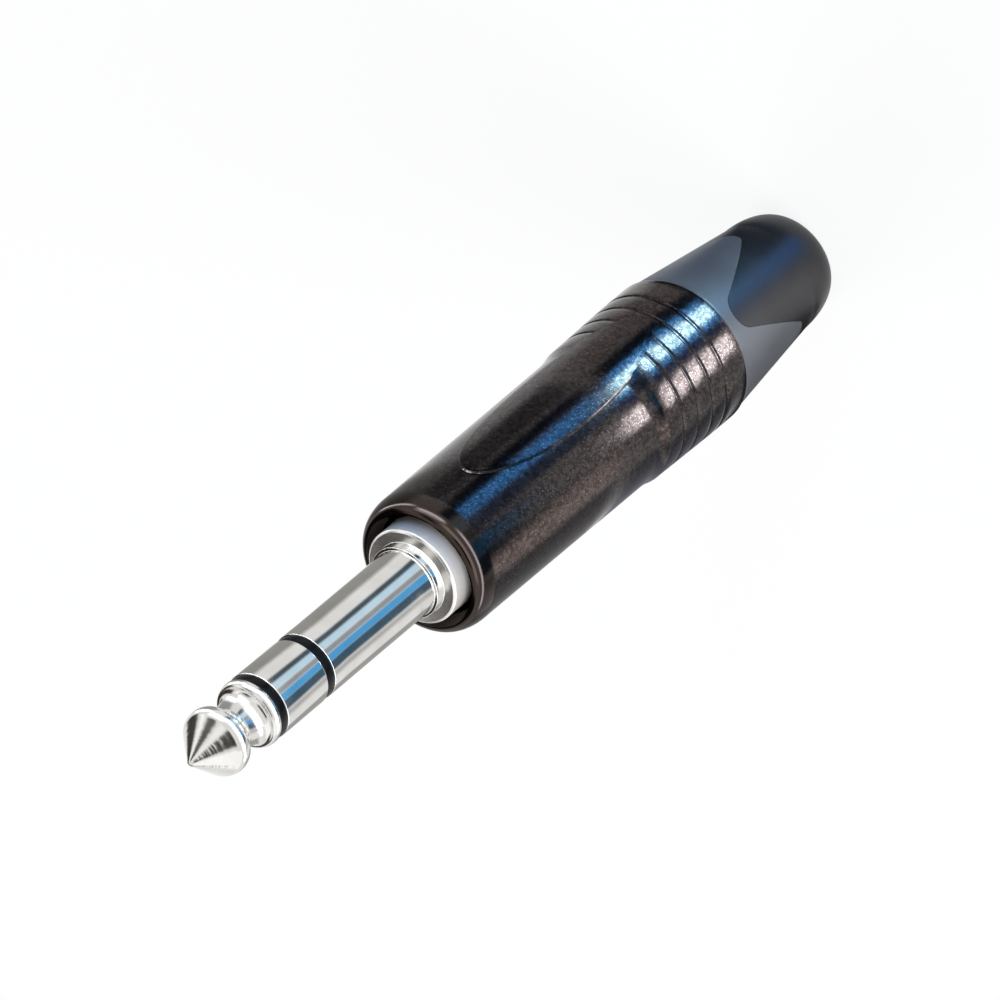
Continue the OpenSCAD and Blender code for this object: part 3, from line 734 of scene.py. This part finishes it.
floor_mesh = bpy.data.meshes.new("floor")
floor_mesh.from_pydata([(-6, -6, 0), (6, -6, 0), (6, 6, 0), (-6, 6, 0)], [], [(0, 1, 2, 3)])
floor = bpy.data.objects.new("floor", floor_mesh)
bpy.context.scene.collection.objects.link(floor)
floor_material = bpy.data.materials.new("floor_white")
floor_material.use_nodes = True
tree = floor_material.node_tree
for node in list(tree.nodes):
    if node.type != "OUTPUT_MATERIAL":
        tree.nodes.remove(node)
diffuse = tree.nodes.new("ShaderNodeBsdfDiffuse")
diffuse.inputs["Color"].default_value = (0.86, 0.86, 0.86, 1)
emission = tree.nodes.new("ShaderNodeEmission")
emission.inputs["Color"].default_value = (1, 1, 1, 1)
mix = white_for_lens(tree, diffuse.outputs[0], FLOOR_WHITE)
tree.links.new(emission.outputs[0], mix.inputs[2])
tree.links.new(mix.outputs[0], tree.nodes["Material Output"].inputs["Surface"])
floor_mesh.materials.append(floor_material)

world = bpy.data.worlds.new("studio")
bpy.context.scene.world = world
world.use_nodes = True
tree = world.node_tree
room = tree.nodes["Background"]
room.inputs["Color"].default_value = (1, 1, 1, 1)
room.inputs["Strength"].default_value = ROOM_LEVEL
white = tree.nodes.new("ShaderNodeBackground")
white.inputs["Color"].default_value = (1, 1, 1, 1)
mix = white_for_lens(tree, room.outputs[0], 1.0)
tree.links.new(white.outputs[0], mix.inputs[2])
tree.links.new(mix.outputs[0], tree.nodes["World Output"].inputs["Surface"])


def studio_way(turn, height):
    """Unit vector: turn in degrees from the camera's side, height in degrees above the horizon."""
    a, e = math.radians(CAMERA_TURN - turn), math.radians(height)
    return Vector((math.sin(a) * math.cos(e), -math.cos(a) * math.cos(e), math.sin(e)))


def softbox(name, turn, height, distance, width, length, watts, color=(1, 1, 1)):
    way = studio_way(turn, height)
    lamp = bpy.data.lights.new(name, "AREA")
    lamp.shape = "RECTANGLE"
    lamp.size = width
    lamp.size_y = length
    lamp.energy = watts
    lamp.color = color
    box = bpy.data.objects.new(name, lamp)
    bpy.context.scene.collection.objects.link(box)
    box.location = Vector((0, 0, 0.044)) + way * distance
    box.rotation_euler = way.to_track_quat("Z", "Y").to_euler()
    box.visible_glossy = False
    return box


def card(name, turns, path, color, fade=4.0):
    """A curved studio card that only gloss sees. turns: its two sides in degrees from the camera's
    side. path: its (distance, height) points in millimetres from one edge to the other.
    fade: how many degrees its sides take to thin out."""
    columns = max(8, int((turns[1] - turns[0]) / 1.5))
    verts, cover = [], []
    for i in range(columns + 1):
        turn = turns[0] + (turns[1] - turns[0]) * i / columns
        way = studio_way(turn, 0)
        for distance, height in path:
            verts.append((way.x * distance * MM, way.y * distance * MM, height * MM))
            cover.append(min(1.0, (turn - turns[0]) / fade, (turns[1] - turn) / fade) if fade else 1.0)
    rows = len(path)
    faces = [(i * rows + k, i * rows + k + 1, (i + 1) * rows + k + 1, (i + 1) * rows + k)
             for i in range(columns) for k in range(rows - 1)]
    mesh = bpy.data.meshes.new(name)
    mesh.from_pydata(verts, [], faces)
    mesh.attributes.new("cover", "FLOAT", "POINT").data.foreach_set("value", cover)
    sheet = bpy.data.objects.new(name, mesh)
    bpy.context.scene.collection.objects.link(sheet)
    material = bpy.data.materials.new(name)
    material.use_nodes = True
    tree = material.node_tree
    for node in list(tree.nodes):
        if node.type != "OUTPUT_MATERIAL":
            tree.nodes.remove(node)
    seen = tree.nodes.new("ShaderNodeAttribute")
    seen.attribute_name = "cover"
    clear = tree.nodes.new("ShaderNodeBsdfTransparent")
    glow = tree.nodes.new("ShaderNodeEmission")
    glow.inputs["Color"].default_value = (*color, 1)
    mix = tree.nodes.new("ShaderNodeMixShader")
    tree.links.new(seen.outputs["Fac"], mix.inputs[0])
    tree.links.new(clear.outputs[0], mix.inputs[1])
    tree.links.new(glow.outputs[0], mix.inputs[2])
    tree.links.new(mix.outputs[0], tree.nodes["Material Output"].inputs["Surface"])
    mesh.materials.append(material)
    sheet.visible_camera = False
    sheet.visible_diffuse = False
    sheet.visible_transmission = False
    sheet.visible_shadow = False


softbox("key", 54, 35, 0.7, 0.45, 0.45, 4.0)
softbox("fill", -30, 20, 0.7, 0.25, 0.45, 1.7, (0.22, 0.5, 1.0))
softbox("back", 175, 40, 0.7, 0.5, 0.35, 3.0)

# Cards that the finger reflects
FINGER_CARDS = [
    ("finger_grey_left", (-164, -76), (0.37, 0.365, 0.35), 16),
    ("finger_dark_line", (-44, -20), (0.08, 0.12, 0.15), 7),
    ("finger_pale_blue", (-25, -3), (0.68, 0.95, 1.16), 4),
    ("finger_mid_grey", (-5, 17), (0.38, 0.42, 0.46), 6),
    ("finger_blue", (13, 38), (0.11, 0.47, 0.92), 4),
    ("finger_dark_blue", (31, 66), (0.07, 0.13, 0.19), 7),
    ("finger_grey_middle", (60, 90), (0.56, 0.56, 0.56), 14),
    ("finger_grey_right", (116, 178), (0.42, 0.415, 0.405), 8),
]
for number, (name, turns, color, fade) in enumerate(FINGER_CARDS):
    distance = 48 + 0.3 * number
    card(name, turns, [(distance, 12), (distance, 52)], color, fade)

# Cards close round the shell
SHELL_CARDS = [
    ("shell_dark_left", (-52, -27), (0.04, 0.05, 0.09), 8),
    ("shell_half_left", (-92, -44), (0.23, 0.23, 0.26), 12),
    ("shell_blue", (-34, -8), (0.45, 1.8, 4.4), 7),
    ("shell_dark_middle", (-17, 9), (0.22, 0.30, 0.5), 5),
    ("shell_warm", (44, 84), (1.9, 1.7, 1.6), 14),
    ("shell_grey_right", (76, 160), (0.38, 0.38, 0.39), 12),
]
for number, (name, turns, color, fade) in enumerate(SHELL_CARDS):
    distance = 26 + 0.2 * number
    card(name, turns, [(distance, 17.5), (distance, 38.5)], color, fade)

# Cards close round the ringed barrel
BARREL_CARDS = [
    ("barrel_white_left", (-27, -5), (13.0, 24.0, 29.0), 5),
    ("barrel_blue", (-37, 3), (0.8, 3.4, 8.0), 6),
    ("barrel_dark_left", (-56, -24), (0.03, 0.05, 0.09), 8),
    ("barrel_half_left", (-100, -44), (0.72, 0.66, 0.66), 14),
    ("barrel_dark_middle", (-8, 14), (0.25, 0.4, 0.9), 5),
    ("barrel_white_right", (15, 45), (14.0, 14.0, 14.4), 8),
    ("barrel_grey_right", (80, 176), (0.30, 0.31, 0.36), 10),
]
for number, (name, turns, color, fade) in enumerate(BARREL_CARDS):
    distance = 24 + 0.2 * number
    card(name, turns, [(distance, 0.3), (distance, 17)], color, fade)

# Sheets on the floor beside the boot
BOOT_CARDS = [
    ("boot_dark_left", (-110, -16), (0.01, 0.02, 0.04), 12),
    ("boot_blue", (-28, 9), (0.35, 1.4, 4.0), 14),
    ("boot_white_right", (8, 64), (1.8, 1.7, 1.7), 20),
    ("boot_grey_right", (68, 176), (0.05, 0.05, 0.05), 14),
]
for number, (name, turns, color, fade) in enumerate(BOOT_CARDS):
    height = 0.15 + 0.02 * number
    card(name, turns, [(7.2, height), (24, height)], color, fade)

# Panels further off, for what faces upwards: the nose, the collar and the shell's lip
PANELS = [
    ("panel_black_left", (-178, -104), (-8, 24), (0.06, 0.055, 0.05), 8),
    ("panel_white_left", (-102, -84), (0, 50), (1.35, 1.35, 1.35), 5),
    ("panel_grey_left", (-84, -44), (22, 55), (0.13, 0.13, 0.12), 10),
    ("panel_pale_front", (-44, -4), (28, 60), (1.2, 1.2, 1.18), 14),
    ("panel_black_front", (-8, 58), (24, 47), (0.05, 0.045, 0.04), 8),
    ("panel_white_right", (64, 128), (-8, 40), (1.35, 1.35, 1.35), 5),
]
PANEL_DISTANCE = 70
for number, (name, turns, heights, color, fade) in enumerate(PANELS):
    distance = PANEL_DISTANCE + number
    card(name, turns, [(distance, 86 + distance * math.tan(math.radians(h))) for h in heights], color, fade)

# Thin bright strips that draw the lines along the shell's lip and the plaque's rim
STRIPS = [
    ("strip_left", (-130, -72), (53, 60), (8, 9, 10), 10),
    ("strip_right", (-14, 112), (53, 60), (8, 9, 10.5), 14),
    ("strip_front", (-74, -24), (62, 74), (8, 9, 10), 8),
    ("strip_upper", (-80, -30), (78, 84), (6, 6.5, 7), 10),
]
for number, (name, turns, heights, color, fade) in enumerate(STRIPS):
    card(name, turns, [(60 + number, h) for h in heights], color, fade)

# A white card that lights the collar and a dark one behind it
card("collar_white", (-34, 74), [(30, 66), (30, 78)], (3.2, 3.2, 3.2), 12)
card("collar_dark", (112, 248), [(60, 98), (60, 132)], (0.04, 0.03, 0.026), 14)
